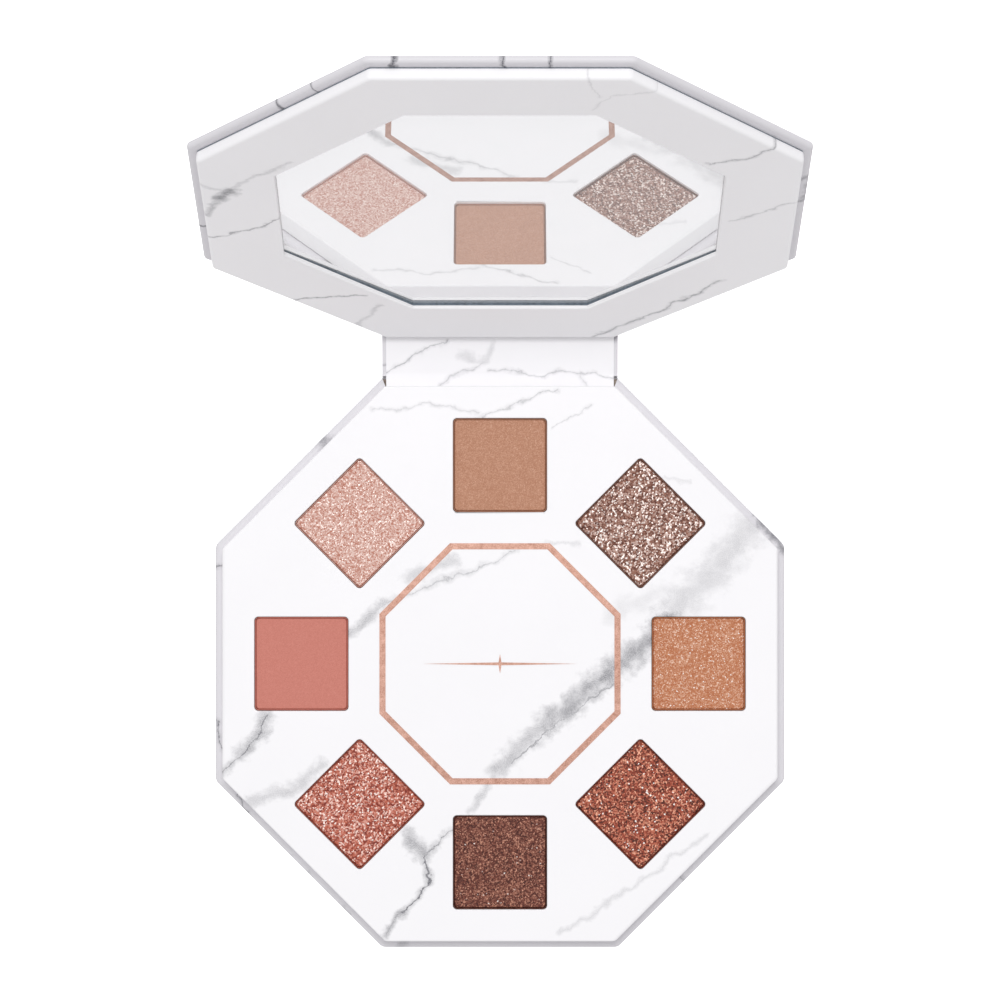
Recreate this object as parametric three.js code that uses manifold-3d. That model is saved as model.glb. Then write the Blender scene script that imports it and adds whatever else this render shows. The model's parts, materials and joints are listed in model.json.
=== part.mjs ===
// Folding eyeshadow palette, octagonal, built like a hardback book.
// Two cover boards and a narrow spine board are wrapped in one sheet of printed paper, which is
// also the hinge. A laminated board tray with eight metal pans of pressed powder is glued to the
// base cover, and a board frame with a mirror sheet is glued to the lid cover.
// Millimetres, +Z up, +Y towards the spine, origin at the centre of the base's underside.
import * as THREE from "three";
import { mergeVertices } from "three/addons/utils/BufferGeometryUtils.js";
import Module from "manifold-3d";

const wasm = await Module();
wasm.setup();

// Paper and board stock
const PAPER = 0.2; // wrapping and lining paper
const GLUE = 0.05; // glue film between two glued layers
const COVER_T = 1.5; // a wrapped cover: paper, board, paper
const BOARD_T = COVER_T - 2 * (PAPER + GLUE);
const COVER_ACROSS = 112.6; // covers, across the flats
const TRAY_ACROSS = 109.2; // base tray and lid frame, across the flats
const TURN_IN = 12; // width of the wrapping paper folded inside a cover

// Base tray
const BASE_H = 6.4; // underside of the base to the face of its tray
const FLOOR_CARD_T = 0.45;
const WELL = 18.5; // square window for one pan
const WELL_CORNER_R = 0.8;
const WELL_RING_R = 39.05; // tray centre to the centre of each window
const WELLS = ["rear", "rear_left", "left", "front_left", "front", "front_right", "right", "rear_right"];
const PAN = 18.0;
const PAN_CORNER_R = 1.0;
const PAN_H = 3.9;
const PAN_WALL = 0.3;
const CAKE_DROP = 0.15; // powder below the rim of its pan
const CAKE_CLEARANCE = 0.05;

// Foil on the tray face
const FOIL_T = 0.05;
const FOIL_FRAME_ACROSS = 47.4;
const FOIL_LINE = 1.2;
const ORNAMENT_REACH = 15;
const ORNAMENT_HEIGHT = 1.9;
const ORNAMENT_WAIST = 0.28;

// Lid frame and mirror
const LID_FRAME_T = 2.4;
const MIRROR_OPENING = 81.4;
const MIRROR_ACROSS = 80.8;
const MIRROR_T = 0.85;
const TAPE_T = 0.15;
const TAPE_SIZE = 54;

// Magnets that hold the lid shut
const MAGNET_R = 4;
const MAGNET_T = 1.5;
const MAGNET_POCKET_R = 4.2;
const MAGNET_X = 15.5;
const MAGNET_FROM_FRONT = 6.6; // tray edge to the magnet's centre

// Paper hinges
const HINGE_Z = 0.3; // fold line above a cover's outer face
const COVER_TO_FOLD = 0.4; // edge of a cover to its fold line
const FOLD_TO_SPINE = 1.4; // fold line to the edge of the spine board
const CLOSED_GAP = 0.3; // between the two trays when shut
const SPINE_W = 46.6; // the side of the octagon it joins
const LINING_W = 45; // lining paper over the spine
const LINING_TUCK = 11.7; // lining paper glued under the tray
const SPINE_TILT = 5; // degrees above level, as it stands open
const LID_TILT = 68.2; // degrees above level, as it stands open
const LID_T = COVER_T + LID_FRAME_T;
const FOLD_TO_FOLD = BASE_H + CLOSED_GAP + LID_T - 2 * HINGE_Z;
const HINGE_Y = COVER_ACROSS / 2 + COVER_TO_FOLD;

const CORNER_STEPS = 4; // segments in a rounded corner
const ROUND_STEPS = 24; // segments round a magnet
const PAST = 1; // how far a cutting tool runs past the face that it cuts

const STOCK = {
  greyBoard: { color: 0xa7a196, roughness: 0.95, metalness: 0 },
  marblePaper: { color: 0xf4f3f6, roughness: 0.45, metalness: 0 },
  liningPaper: { color: 0xf2f1f5, roughness: 0.5, metalness: 0 },
  pan: { color: 0xc8c9cc, roughness: 0.35, metalness: 1 },
  roseGold: { color: 0xe2a794, roughness: 0.3, metalness: 1 },
  mirror: { color: 0xe9ecef, roughness: 0.02, metalness: 1 },
  tape: { color: 0xe8e4d8, roughness: 0.7, metalness: 0 },
  magnet: { color: 0x8d9096, roughness: 0.3, metalness: 1 },
};

const POWDER_COLOURS = {
  rear: 0xc29279,
  rear_left: 0xdeb9ad,
  left: 0xce8478,
  front_left: 0xc48172,
  front: 0x7a4f42,
  front_right: 0xa4604e,
  right: 0xc78d6f,
  rear_right: 0xaf9185,
};

// Outlines

function octagonPoints(across) {
  const reach = across / 2 / Math.cos(Math.PI / 8);
  return Array.from({ length: 8 }, (_, corner) => {
    const angle = Math.PI / 8 + (corner * Math.PI) / 4;
    return new THREE.Vector2(reach * Math.cos(angle), reach * Math.sin(angle));
  });
}

function roundedSquarePoints(size, cornerRadius) {
  const inset = size / 2 - cornerRadius;
  const points = [];
  for (let corner = 0; corner < 4; corner += 1) {
    const start = (corner * Math.PI) / 2;
    const centre = new THREE.Vector2(inset, inset).rotateAround(new THREE.Vector2(), start);
    for (let step = 0; step <= CORNER_STEPS; step += 1) {
      const angle = start + (step / CORNER_STEPS) * (Math.PI / 2);
      const arc = new THREE.Vector2(Math.cos(angle), Math.sin(angle)).multiplyScalar(cornerRadius);
      points.push(arc.add(centre));
    }
  }
  return points;
}

function wellPlace(index) {
  const turn = (index * Math.PI) / 4;
  return { turn, x: -WELL_RING_R * Math.sin(turn), y: WELL_RING_R * Math.cos(turn) };
}

function wellPoints(index, size) {
  const { turn, x, y } = wellPlace(index);
  return roundedSquarePoints(size, WELL_CORNER_R).map((point) =>
    point.rotateAround(new THREE.Vector2(), turn).add(new THREE.Vector2(x, y)),
  );
}

function octagonWithWells(across, wellSize) {
  const shape = new THREE.Shape(octagonPoints(across));
  WELLS.forEach((_, index) => shape.holes.push(new THREE.Path(wellPoints(index, wellSize))));
  return shape;
}

function ringShape(outerPoints, innerPoints) {
  const shape = new THREE.Shape(outerPoints);
  shape.holes.push(new THREE.Path(innerPoints));
  return shape;
}

// Solids

function slab(shape, bottom, top) {
  const geometry = new THREE.ExtrudeGeometry(shape, { depth: top - bottom, bevelEnabled: false });
  return geometry.translate(0, 0, bottom);
}

function octagonSlab(across, bottom, top) {
  return slab(new THREE.Shape(octagonPoints(across)), bottom, top);
}

function block(width, front, rear, bottom, top) {
  const geometry = new THREE.BoxGeometry(width, rear - front, top - bottom);
  return geometry.translate(0, (front + rear) / 2, (bottom + top) / 2);
}

function disc(radius, bottom, top) {
  const geometry = new THREE.CylinderGeometry(radius, radius, top - bottom, ROUND_STEPS);
  return geometry.rotateX(Math.PI / 2).translate(0, 0, (bottom + top) / 2);
}

function toManifold(geometry) {
  const positions = geometry.clone();
  positions.deleteAttribute("normal");
  positions.deleteAttribute("uv");
  const merged = mergeVertices(positions);
  const vertProperties = new Float32Array(merged.attributes.position.array);
  const triVerts = new Uint32Array(merged.index.array);
  return new wasm.Manifold(new wasm.Mesh({ numProp: 3, vertProperties, triVerts }));
}

function toGeometry(manifold) {
  const result = manifold.getMesh();
  const geometry = new THREE.BufferGeometry();
  geometry.setAttribute("position", new THREE.BufferAttribute(result.vertProperties, 3));
  geometry.setIndex(new THREE.BufferAttribute(result.triVerts, 1));
  geometry.computeVertexNormals();
  return geometry;
}

function combine(start, { add = [], remove = [] }) {
  const joined = add.reduce((whole, geometry) => whole.add(toManifold(geometry)), toManifold(start));
  return toGeometry(remove.reduce((whole, geometry) => whole.subtract(toManifold(geometry)), joined));
}

function piece(name, stock, geometry) {
  const mesh = new THREE.Mesh(geometry, new THREE.MeshStandardMaterial(stock));
  mesh.name = name;
  return mesh;
}

// Covers: each is laid out flat with its outer face at z = 0, its fold edge towards +Y and its
// octagon centred on the origin, so that the base and the lid share one drawing.

function coverBoard() {
  const across = COVER_ACROSS - 2 * (PAPER + GLUE);
  return octagonSlab(across, PAPER + GLUE, PAPER + GLUE + BOARD_T);
}

function coverPaper() {
  const flapLevel = COVER_T - PAPER;
  const outerFlap = block(SPINE_W, COVER_ACROSS / 2 - PAST, HINGE_Y - GLUE, 0, PAPER);
  return combine(octagonSlab(COVER_ACROSS, 0, COVER_T), {
    add: [outerFlap],
    remove: [
      octagonSlab(COVER_ACROSS - 2 * PAPER, PAPER, flapLevel),
      octagonSlab(COVER_ACROSS - 2 * TURN_IN, PAPER, COVER_T + PAST),
      block(LINING_W + 2 * GLUE, COVER_ACROSS / 2 - TURN_IN - PAST, HINGE_Y + PAST, PAPER, COVER_T + PAST),
    ],
  });
}

function coverLining() {
  return block(LINING_W, COVER_ACROSS / 2 - LINING_TUCK, COVER_ACROSS / 2, COVER_T - PAPER, COVER_T);
}

function cover(side) {
  return [
    piece(`${side}_board`, STOCK.greyBoard, coverBoard()),
    piece(`${side}_cover_paper`, STOCK.marblePaper, coverPaper()),
    piece(`${side}_lining`, STOCK.liningPaper, coverLining()),
  ];
}

// Base tray: a floor card and two thick boards with eight windows, wrapped in printed paper that
// turns down the outside and down the sides of every window.

const trayInside = TRAY_ACROSS - 2 * PAPER;
const boardAcross = trayInside - 2 * GLUE;
const boardWindow = WELL + 2 * (PAPER + GLUE);
const trayBottom = COVER_T + GLUE;
const floorTop = trayBottom + FLOOR_CARD_T;
const layersBottom = floorTop + GLUE;
const layersTop = BASE_H - PAPER - GLUE;
const layerT = (layersTop - layersBottom - GLUE) / 2;
const magnetY = TRAY_ACROSS / 2 - MAGNET_FROM_FRONT;

function magnetPockets(bottom, top, y) {
  return [-MAGNET_X, MAGNET_X].map((x) =>
    disc(MAGNET_POCKET_R, bottom - PAST, top + PAST).translate(x, y, 0),
  );
}

function magnets(side, top, y) {
  return [["left", -MAGNET_X], ["right", MAGNET_X]].map(([hand, x]) =>
    piece(`${side}_magnet_${hand}`, STOCK.magnet, disc(MAGNET_R, top - MAGNET_T, top).translate(x, y, 0)),
  );
}

function trayUpperBoard() {
  const bottom = layersTop - layerT;
  return combine(slab(octagonWithWells(boardAcross, boardWindow), bottom, layersTop), {
    remove: magnetPockets(bottom, layersTop, -magnetY),
  });
}

function trayWrap() {
  const inside = slab(octagonWithWells(trayInside, WELL + 2 * PAPER), trayBottom - PAST, BASE_H - PAPER);
  const belowWindows = octagonSlab(trayInside, trayBottom - PAST, floorTop + GLUE);
  return combine(slab(octagonWithWells(TRAY_ACROSS, WELL), trayBottom, BASE_H), {
    remove: [inside, belowWindows],
  });
}

function tray() {
  return [
    piece("tray_floor_card", STOCK.greyBoard, octagonSlab(boardAcross, trayBottom, floorTop)),
    piece(
      "tray_lower_board",
      STOCK.greyBoard,
      slab(octagonWithWells(boardAcross, boardWindow), layersBottom, layersBottom + layerT),
    ),
    piece("tray_upper_board", STOCK.greyBoard, trayUpperBoard()),
    piece("tray_wrap", STOCK.marblePaper, trayWrap()),
    ...magnets("base", layersTop, -magnetY),
  ];
}

// Foil: a thin octagonal line round the middle of the tray and a long four-pointed star in it.

function foilFrame() {
  const inner = octagonPoints(FOIL_FRAME_ACROSS - 2 * FOIL_LINE);
  return slab(ringShape(octagonPoints(FOIL_FRAME_ACROSS), inner), BASE_H, BASE_H + FOIL_T);
}

function foilOrnament() {
  const star = [];
  for (let quarter = 0; quarter < 4; quarter += 1) {
    const reach = quarter % 2 === 0 ? ORNAMENT_REACH : ORNAMENT_HEIGHT;
    const angle = (quarter * Math.PI) / 2;
    const waist = ORNAMENT_WAIST * Math.SQRT2;
    star.push(new THREE.Vector2(reach * Math.cos(angle), reach * Math.sin(angle)));
    star.push(new THREE.Vector2(waist * Math.cos(angle + Math.PI / 4), waist * Math.sin(angle + Math.PI / 4)));
  }
  return slab(new THREE.Shape(star), BASE_H, BASE_H + FOIL_T);
}

// Pans: pressed metal trays with an open top, each filled with a cake of pressed powder.

function panShell() {
  const cavity = new THREE.Shape(roundedSquarePoints(PAN - 2 * PAN_WALL, PAN_CORNER_R - PAN_WALL));
  return combine(slab(new THREE.Shape(roundedSquarePoints(PAN, PAN_CORNER_R)), 0, PAN_H), {
    remove: [slab(cavity, PAN_WALL, PAN_H + PAST)],
  });
}

function powderCake() {
  const inset = PAN_WALL + CAKE_CLEARANCE;
  const outline = new THREE.Shape(roundedSquarePoints(PAN - 2 * inset, PAN_CORNER_R - inset));
  return slab(outline, PAN_WALL + CAKE_CLEARANCE, PAN_H - CAKE_DROP);
}

function filledPans() {
  const group = new THREE.Group();
  WELLS.forEach((place, index) => {
    const { turn, x, y } = wellPlace(index);
    const powder = { color: POWDER_COLOURS[place], roughness: 0.85, metalness: 0 };
    const filledPan = new THREE.Group();
    filledPan.position.set(x, y, floorTop + GLUE);
    filledPan.rotation.z = turn;
    filledPan.add(piece(`pan_${place}`, STOCK.pan, panShell()));
    filledPan.add(piece(`powder_${place}`, powder, powderCake()));
    group.add(filledPan);
  });
  return group;
}

// Spine: drawn with its fold line to the base on the X axis and the lid's fold line at
// y = FOLD_TO_FOLD, its outer face HINGE_Z below both.

const spineOuter = -HINGE_Z;
const spineInner = COVER_T - HINGE_Z;
const spineFront = FOLD_TO_SPINE;
const spineRear = FOLD_TO_FOLD - FOLD_TO_SPINE;

function spineBoard() {
  const width = SPINE_W - 2 * (PAPER + GLUE);
  const bottom = spineOuter + PAPER + GLUE;
  return block(width, spineFront, spineRear, bottom, bottom + BOARD_T);
}

function spinePaper() {
  const inside = spineInner - PAPER;
  return combine(block(SPINE_W, GLUE, FOLD_TO_FOLD - GLUE, spineOuter, spineOuter + PAPER), {
    add: [block(SPINE_W, spineFront, spineRear, spineOuter, spineInner)],
    remove: [
      block(SPINE_W - 2 * PAPER, spineFront - PAST, spineRear + PAST, spineOuter + PAPER, inside),
      block(LINING_W + 2 * GLUE, spineFront - PAST, spineRear + PAST, spineOuter + PAPER, spineInner + PAST),
    ],
  });
}

function spine() {
  return [
    piece("spine_board", STOCK.greyBoard, spineBoard()),
    piece("spine_cover_paper", STOCK.marblePaper, spinePaper()),
    piece("spine_lining", STOCK.liningPaper, block(LINING_W, spineFront, spineRear, spineInner - PAPER, spineInner)),
  ];
}

// Lid frame: a board with an octagonal window, wrapped in printed paper that turns down the
// outside and into the window, and a mirror taped to the cover behind it.

const frameBottom = COVER_T + GLUE;
const frameTop = COVER_T + LID_FRAME_T;

function lidFrameBoard() {
  const window = MIRROR_OPENING + 2 * (PAPER + GLUE);
  const top = frameTop - PAPER - GLUE;
  return combine(slab(ringShape(octagonPoints(boardAcross), octagonPoints(window)), frameBottom, top), {
    remove: magnetPockets(frameBottom, top, -magnetY),
  });
}

function lidFrameWrap() {
  const outline = ringShape(octagonPoints(TRAY_ACROSS), octagonPoints(MIRROR_OPENING));
  const inside = ringShape(octagonPoints(trayInside), octagonPoints(MIRROR_OPENING + 2 * PAPER));
  return combine(slab(outline, frameBottom, frameTop), {
    remove: [slab(inside, frameBottom - PAST, frameTop - PAPER)],
  });
}

function lidFrame() {
  const tapeTop = frameBottom + TAPE_T;
  return [
    piece("lid_frame_board", STOCK.greyBoard, lidFrameBoard()),
    piece("lid_frame_wrap", STOCK.marblePaper, lidFrameWrap()),
    ...magnets("lid", frameTop - PAPER - GLUE, -magnetY),
    piece("mirror_tape", STOCK.tape, block(TAPE_SIZE, -TAPE_SIZE / 2, TAPE_SIZE / 2, frameBottom, tapeTop)),
    piece("mirror", STOCK.mirror, octagonSlab(MIRROR_ACROSS, tapeTop + GLUE, tapeTop + GLUE + MIRROR_T)),
  ];
}

// Assembly. The lid's drawing is turned half round about Z, so that its fold edge meets the
// spine, and set into a group whose X axis is the lid's fold line.

const palette = new THREE.Group();
palette.add(...cover("base"), ...tray(), piece("gold_frame", STOCK.roseGold, foilFrame()));
palette.add(piece("gold_ornament", STOCK.roseGold, foilOrnament()), filledPans());

const spineGroup = new THREE.Group();
spineGroup.position.set(0, HINGE_Y, HINGE_Z);
spineGroup.rotation.x = THREE.MathUtils.degToRad(SPINE_TILT);
spineGroup.add(...spine());
palette.add(spineGroup);

const lidGroup = new THREE.Group();
lidGroup.position.set(0, FOLD_TO_FOLD, 0);
lidGroup.rotation.x = THREE.MathUtils.degToRad(LID_TILT - SPINE_TILT);
spineGroup.add(lidGroup);

const lidDrawing = new THREE.Group();
lidDrawing.position.set(0, HINGE_Y, -HINGE_Z);
lidDrawing.rotation.z = Math.PI;
lidDrawing.add(...cover("lid"), ...lidFrame());
lidGroup.add(lidDrawing);

export default palette;
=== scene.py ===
import json
import math
import bmesh
import bpy
from mathutils import Matrix, Vector


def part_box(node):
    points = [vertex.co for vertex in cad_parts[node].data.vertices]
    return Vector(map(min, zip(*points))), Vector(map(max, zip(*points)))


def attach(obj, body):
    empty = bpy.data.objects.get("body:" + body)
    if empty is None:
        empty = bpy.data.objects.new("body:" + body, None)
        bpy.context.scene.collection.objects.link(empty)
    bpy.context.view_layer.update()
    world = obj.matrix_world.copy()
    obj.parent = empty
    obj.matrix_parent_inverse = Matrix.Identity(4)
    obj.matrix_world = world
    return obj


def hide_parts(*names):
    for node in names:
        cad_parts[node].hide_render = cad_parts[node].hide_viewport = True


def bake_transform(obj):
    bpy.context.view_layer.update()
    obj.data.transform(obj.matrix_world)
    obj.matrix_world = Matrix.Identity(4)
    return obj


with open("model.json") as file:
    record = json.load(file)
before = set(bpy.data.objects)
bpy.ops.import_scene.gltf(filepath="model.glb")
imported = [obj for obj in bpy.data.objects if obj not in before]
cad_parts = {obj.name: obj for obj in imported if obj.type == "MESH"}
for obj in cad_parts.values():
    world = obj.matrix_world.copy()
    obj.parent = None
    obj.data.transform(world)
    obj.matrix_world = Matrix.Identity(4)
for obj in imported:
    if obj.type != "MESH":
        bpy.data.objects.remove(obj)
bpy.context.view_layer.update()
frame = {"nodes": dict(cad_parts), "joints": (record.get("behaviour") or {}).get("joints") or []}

# Base cover. A grey board octagon wrapped in printed art paper: one outer sheet, folded round
# seven edges and glued down inside as mitred flaps. The eighth edge stays open for the hinge.

MM = 0.001
PAPER = 0.2 * MM
FLAP_WIDTH = 12 * MM
FLAP_RISE = 0.04 * MM
MITRE_GAP = 0.09 * MM
COVER_EDGE = 0.66 * MM
LEVEL = 0.02 * MM
EIGHTHS = [step * math.pi / 4 for step in range(8)]

cover_low, cover_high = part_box("base_cover_paper")
cover_across = cover_high.x - cover_low.x
cover_t = cover_high.z
hinge_joint, lid_joint = frame["joints"]
base_fold = Vector(hinge_joint["pos_m"])


def octagon_block(name, across, bottom, top):
    """An upright octagonal block with its flats facing the X and Y axes."""
    bpy.ops.object.select_all(action="DESELECT")
    bpy.ops.mesh.primitive_cylinder_add(
        vertices=8,
        radius=across / 2 / math.cos(math.pi / 8),
        depth=top - bottom,
        location=(0, 0, (bottom + top) / 2),
        rotation=(0, 0, math.pi / 8),
    )
    block = bpy.context.object
    block.name = block.data.name = name
    bpy.ops.object.transform_apply()
    return block


def pick(piece, kind, wanted):
    """Goes into edit mode with only the wanted faces or edges of a piece selected."""
    bpy.context.view_layer.objects.active = piece
    if bpy.context.mode != "EDIT_MESH":
        bpy.ops.object.mode_set(mode="EDIT")
    bpy.ops.mesh.select_mode(type="FACE" if kind == "faces" else "EDGE")
    bpy.ops.mesh.select_all(action="DESELECT")
    shell = bmesh.from_edit_mesh(piece.data)
    shell.normal_update()
    for element in getattr(shell, kind):
        if wanted(element):
            element.select_set(True)
    bmesh.update_edit_mesh(piece.data)


def only(piece):
    """Back to object mode, with this piece alone selected and active."""
    if bpy.context.mode == "EDIT_MESH":
        bpy.ops.object.mode_set(mode="OBJECT")
    bpy.ops.object.select_all(action="DESELECT")
    piece.select_set(True)
    bpy.context.view_layer.objects.active = piece


def middle(edge):
    return (edge.verts[0].co + edge.verts[1].co) / 2


def level_at(edge, height):
    return all(abs(vert.co.z - height) < LEVEL for vert in edge.verts)


def upright(edge):
    return abs(edge.verts[0].co.z - edge.verts[1].co.z) > 10 * LEVEL


def corner_edge(edge):
    """An edge where two faces meet at a real angle."""
    return len(edge.link_faces) == 2 and edge.calc_face_angle(0) > 0.5


def inside_outline(point, across):
    """How far a point lies inside the sides of an octagon."""
    reach = max(point.x * math.cos(turn) + point.y * math.sin(turn) for turn in EIGHTHS)
    return across / 2 - reach


def modify(piece, kind, **settings):
    """Adds one modifier and applies it."""
    only(piece)
    modifier = piece.modifiers.new(kind.title(), kind)
    for setting, value in settings.items():
        setattr(modifier, setting, value)
    bpy.ops.object.modifier_apply(modifier=modifier.name)


def smooth(piece, degrees=40):
    """Smooth shading over the rounded edges, with the flat faces kept flat."""
    only(piece)
    bpy.ops.object.shade_smooth_by_angle(angle=math.radians(degrees))
    modify(piece, "WEIGHTED_NORMAL", keep_sharp=True, weight=80)


def wrapped_cover(name):
    """Paper folded round an octagonal board lying flat, with its open edge towards +Y."""
    half = cover_across / 2
    top = cover_t - FLAP_RISE
    cover = octagon_block(name, cover_across, 0, top)
    pick(cover, "faces", lambda face: face.normal.z > 0.9)
    bpy.ops.mesh.inset(thickness=FLAP_WIDTH)
    bpy.ops.mesh.delete(type="FACE")
    pick(cover, "faces", lambda face: face.normal.y > 0.9)
    bpy.ops.mesh.delete(type="FACE")
    pick(cover, "faces", lambda face: face.normal.z > 0.9
         and face.calc_center_median().y > half - FLAP_WIDTH)
    bpy.ops.mesh.delete(type="FACE")
    pick(cover, "edges", lambda edge: level_at(edge, 0) and middle(edge).y > half - LEVEL)
    to_fold = base_fold.y - half
    bpy.ops.mesh.extrude_region_move(TRANSFORM_OT_translate={"value": (0, to_fold, 0)})
    pick(cover, "edges", corner_edge)
    bpy.ops.mesh.bevel(offset=COVER_EDGE, segments=5, affect="EDGES")
    pick(cover, "faces", lambda face: face.normal.z > 0.99 and face.calc_center_median().z > top - LEVEL)
    bpy.ops.mesh.inset(thickness=MITRE_GAP, depth=FLAP_RISE, use_individual=True)
    modify(cover, "SOLIDIFY", thickness=PAPER, offset=-1, use_even_offset=True)
    smooth(cover)
    return cover


def give(tree, inputs, made):
    """Fills a node's inputs: a socket is linked, anything else is set."""
    for socket, value in inputs.items():
        if isinstance(value, bpy.types.NodeSocket):
            tree.links.new(value, made.inputs[socket])
        else:
            made.inputs[socket].default_value = value
    return made


def node(tree, kind, inputs=None, **settings):
    made = tree.nodes.new(kind)
    for setting, value in settings.items():
        setattr(made, setting, value)
    return give(tree, inputs or {}, made)


def effect(tree, group, inputs):
    """A shader group placed in a material, with its own values."""
    return give(tree, inputs, node(tree, "ShaderNodeGroup", node_tree=group))


def maths(tree, operation, *values, clamp=False):
    made = node(tree, "ShaderNodeMath", dict(enumerate(values)), operation=operation, use_clamp=clamp)
    return made.outputs[0]


def vectors(tree, operation, *values, output="Vector"):
    return node(tree, "ShaderNodeVectorMath", dict(enumerate(values)), operation=operation).outputs[output]


def scaled(tree, vector, factor):
    inputs = {0: vector, "Scale": factor}
    return node(tree, "ShaderNodeVectorMath", inputs, operation="SCALE").outputs["Vector"]


def noise(tree, place, scale, detail=2.0, roughness=0.5, output="Fac"):
    inputs = {"Vector": place, "Scale": scale, "Detail": detail, "Roughness": roughness}
    return node(tree, "ShaderNodeTexNoise", inputs).outputs[output]


def remap(tree, value, low, high, to_low=0.0, to_high=1.0, curve="LINEAR"):
    inputs = {"Value": value, "From Min": low, "From Max": high, "To Min": to_low, "To Max": to_high}
    return node(tree, "ShaderNodeMapRange", inputs, interpolation_type=curve).outputs["Result"]


def mixed(tree, factor, first, second):
    inputs = {0: factor, 6: first, 7: second}
    return node(tree, "ShaderNodeMix", inputs, data_type="RGBA").outputs[2]


def srgb(red, green, blue):
    """A colour given as it looks, 0 to 255, in the linear values that shaders use."""
    return tuple(
        value / 255 / 12.92 if value <= 10 else ((value / 255 + 0.055) / 1.055) ** 2.4
        for value in (red, green, blue)
    ) + (1.0,)


def new_group(name, takes, gives):
    """An empty shader group with these inputs and outputs."""
    group = bpy.data.node_groups.new(name, "ShaderNodeTree")
    for title, kind in takes.items():
        group.interface.new_socket(title, in_out="INPUT", socket_type="NodeSocket" + kind)
    for title in gives:
        group.interface.new_socket(title, in_out="OUTPUT", socket_type="NodeSocketFloat")
    return group, group.nodes.new("NodeGroupInput").outputs, group.nodes.new("NodeGroupOutput").inputs


def vein_effect():
    """One stretch of a marble vein: a thin dark line, and a soft grey haze around it."""
    takes = {"Place": "Vector", "From": "Vector", "To": "Vector", "Line": "Float", "Haze": "Float",
             "Reach": "Float", "Cloud": "Float"}
    group, takes, gives = new_group("printed vein", takes, ["Mask"])
    along = vectors(group, "SUBTRACT", takes["To"], takes["From"])
    offset = vectors(group, "SUBTRACT", takes["Place"], takes["From"])
    share = maths(group, "DIVIDE", vectors(group, "DOT_PRODUCT", offset, along, output="Value"),
                  vectors(group, "DOT_PRODUCT", along, along, output="Value"), clamp=True)
    aside = vectors(group, "SUBTRACT", offset, scaled(group, along, share))
    away = vectors(group, "LENGTH", aside, output="Value")
    line_width = remap(group, takes["Cloud"], 0.4, 0.65, 0.16, 0.5)
    line = remap(group, away, 0.0, line_width, 1.0, 0.0, "SMOOTHSTEP")
    line = maths(group, "MULTIPLY", line, takes["Line"])
    reach = maths(group, "MULTIPLY", takes["Reach"], remap(group, takes["Cloud"], 0.35, 0.65, 0.85, 1.5))
    haze = maths(group, "MULTIPLY", remap(group, away, 0.0, reach, 1.0, 0.0, "SMOOTHSTEP"), takes["Haze"])
    haze = maths(group, "MULTIPLY", haze, remap(group, takes["Cloud"], 0.35, 0.6, 0.8, 1.15))
    group.links.new(maths(group, "MAXIMUM", line, haze), gives["Mask"])
    return group


def laminate_effect():
    """Laminated art paper: faint fibre relief under a slightly uneven film."""
    group, takes, gives = new_group("laminate", {"Place": "Vector"}, ["Height", "Roughness", "Shade"])
    fibre = noise(group, takes["Place"], 5.5, 4.0, 0.6)
    peel = noise(group, takes["Place"], 0.9, 1.0)
    height = maths(group, "ADD", maths(group, "MULTIPLY", fibre, 0.35), maths(group, "MULTIPLY", peel, 0.65))
    group.links.new(height, gives["Height"])
    group.links.new(remap(group, fibre, 0.3, 0.7, 0.4, 0.55), gives["Roughness"])
    broad = noise(group, takes["Place"], 0.06, 3.0)
    group.links.new(remap(group, broad, 0.3, 0.7, 0.985, 1.0), gives["Shade"])
    return group


vein = vein_effect()
laminate = laminate_effect()
PAPER_WHITE = srgb(249, 248, 250)
VEIN_DARK = srgb(92, 92, 100)
GRAIN_DEPTH = 0.05 * MM


def surface(name):
    """A new material, its node tree and its Principled shader."""
    material = bpy.data.materials.new(name)
    material.use_nodes = True
    return material, material.node_tree, material.node_tree.nodes["Principled BSDF"]


def sheet_place(tree, to_sheet=None, uv_map=None):
    """The place on a printed sheet in millimetres, from the object's coordinates or from its UVs."""
    if uv_map:
        return node(tree, "ShaderNodeUVMap", uv_map=uv_map).outputs["UV"]
    place = node(tree, "ShaderNodeTexCoord").outputs["Object"]
    if to_sheet is not None:
        inputs = {"Vector": place, "Location": to_sheet.to_translation(), "Rotation": to_sheet.to_euler()}
        place = node(tree, "ShaderNodeMapping", inputs, vector_type="POINT").outputs["Vector"]
    return scaled(tree, place, 1 / MM)


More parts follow.
